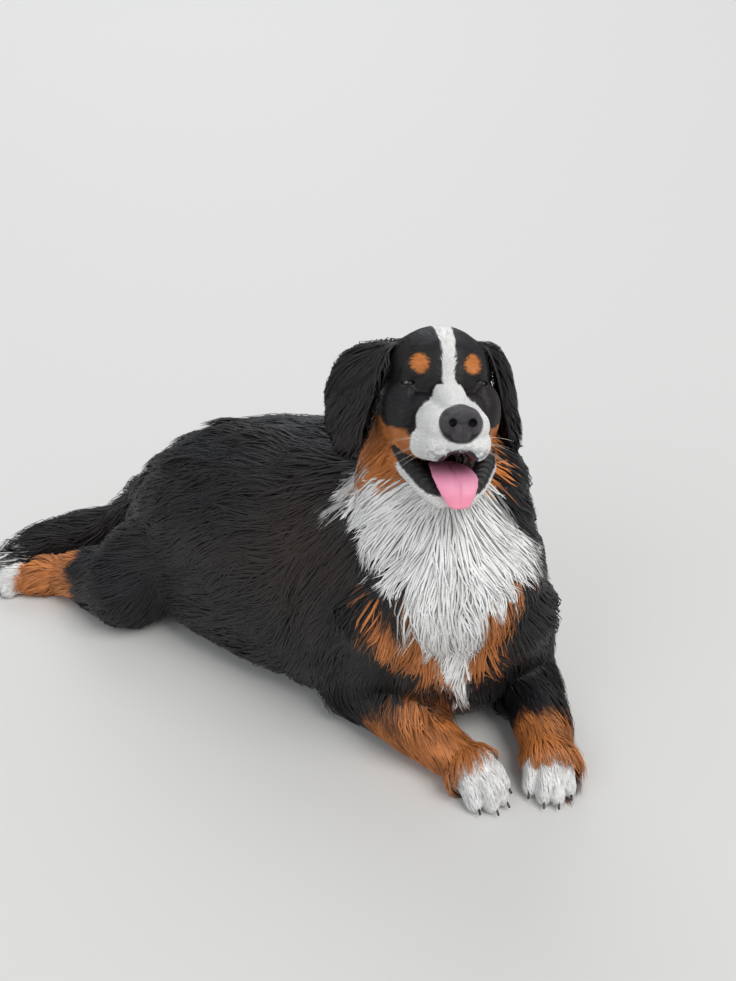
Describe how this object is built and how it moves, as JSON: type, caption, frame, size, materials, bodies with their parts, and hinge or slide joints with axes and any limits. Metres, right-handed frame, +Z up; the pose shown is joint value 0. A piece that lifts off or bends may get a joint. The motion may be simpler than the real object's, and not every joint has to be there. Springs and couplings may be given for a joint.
{
  "type": "bernese mountain dog",
  "caption": "Life-size Bernese mountain dog lying with head raised and mouth open, as a still display model with long locked coat.",
  "frame": {"origin": "on the floor, under the barrel of the body, in the middle of the belly's flat", "axes": "+Z up from the floor; the chest and face look towards -Y, and +X is the dog's left, so the tail and the hind feet lie towards -X"},
  "size_m": [1.0638, 0.8317, 0.6135],
  "materials": {
    "coat_black": "long, slightly wavy black hair, soft sheen",
    "coat_white": "long white hair",
    "coat_tan": "short to feathered rust-brown hair",
    "nose_skin": "moist, finely pebbled black skin",
    "tongue_skin": "moist pink skin",
    "eye_brown": "wet, dark brown",
    "claw_horn": "dark horn"
  },
  "bodies": {
    "root": {"head": "coat_black", "neck": "coat_black", "barrel": "coat_black", "rump": "coat_black", "tail": "coat_black", "ear_right": "coat_black", "ear_left": "coat_black", "thigh_right": "coat_black", "thigh_left": "coat_black", "chest": "coat_white", "jaw": "coat_white", "forepaw_right": "coat_white", "forepaw_left": "coat_white", "foreleg_right": "coat_tan", "foreleg_left": "coat_tan", "shank_right": "coat_tan", "shank_left": "coat_tan", "hindpaw_right": "coat_tan", "hindpaw_left": "coat_tan", "nose": "nose_skin", "tongue": "tongue_skin", "eye_right": "eye_brown", "eye_left": "eye_brown", "claw_forepaw_right_1": "claw_horn", "claw_forepaw_right_2": "claw_horn", "claw_forepaw_right_3": "claw_horn", "claw_forepaw_right_4": "claw_horn", "claw_forepaw_left_1": "claw_horn", "claw_forepaw_left_2": "claw_horn", "claw_forepaw_left_3": "claw_horn", "claw_forepaw_left_4": "claw_horn", "claw_hindpaw_right_1": "claw_horn", "claw_hindpaw_right_2": "claw_horn", "claw_hindpaw_right_3": "claw_horn", "claw_hindpaw_right_4": "claw_horn", "claw_hindpaw_left_1": "claw_horn", "claw_hindpaw_left_2": "claw_horn", "claw_hindpaw_left_3": "claw_horn", "claw_hindpaw_left_4": "claw_horn"}
  },
  "joints": []
}
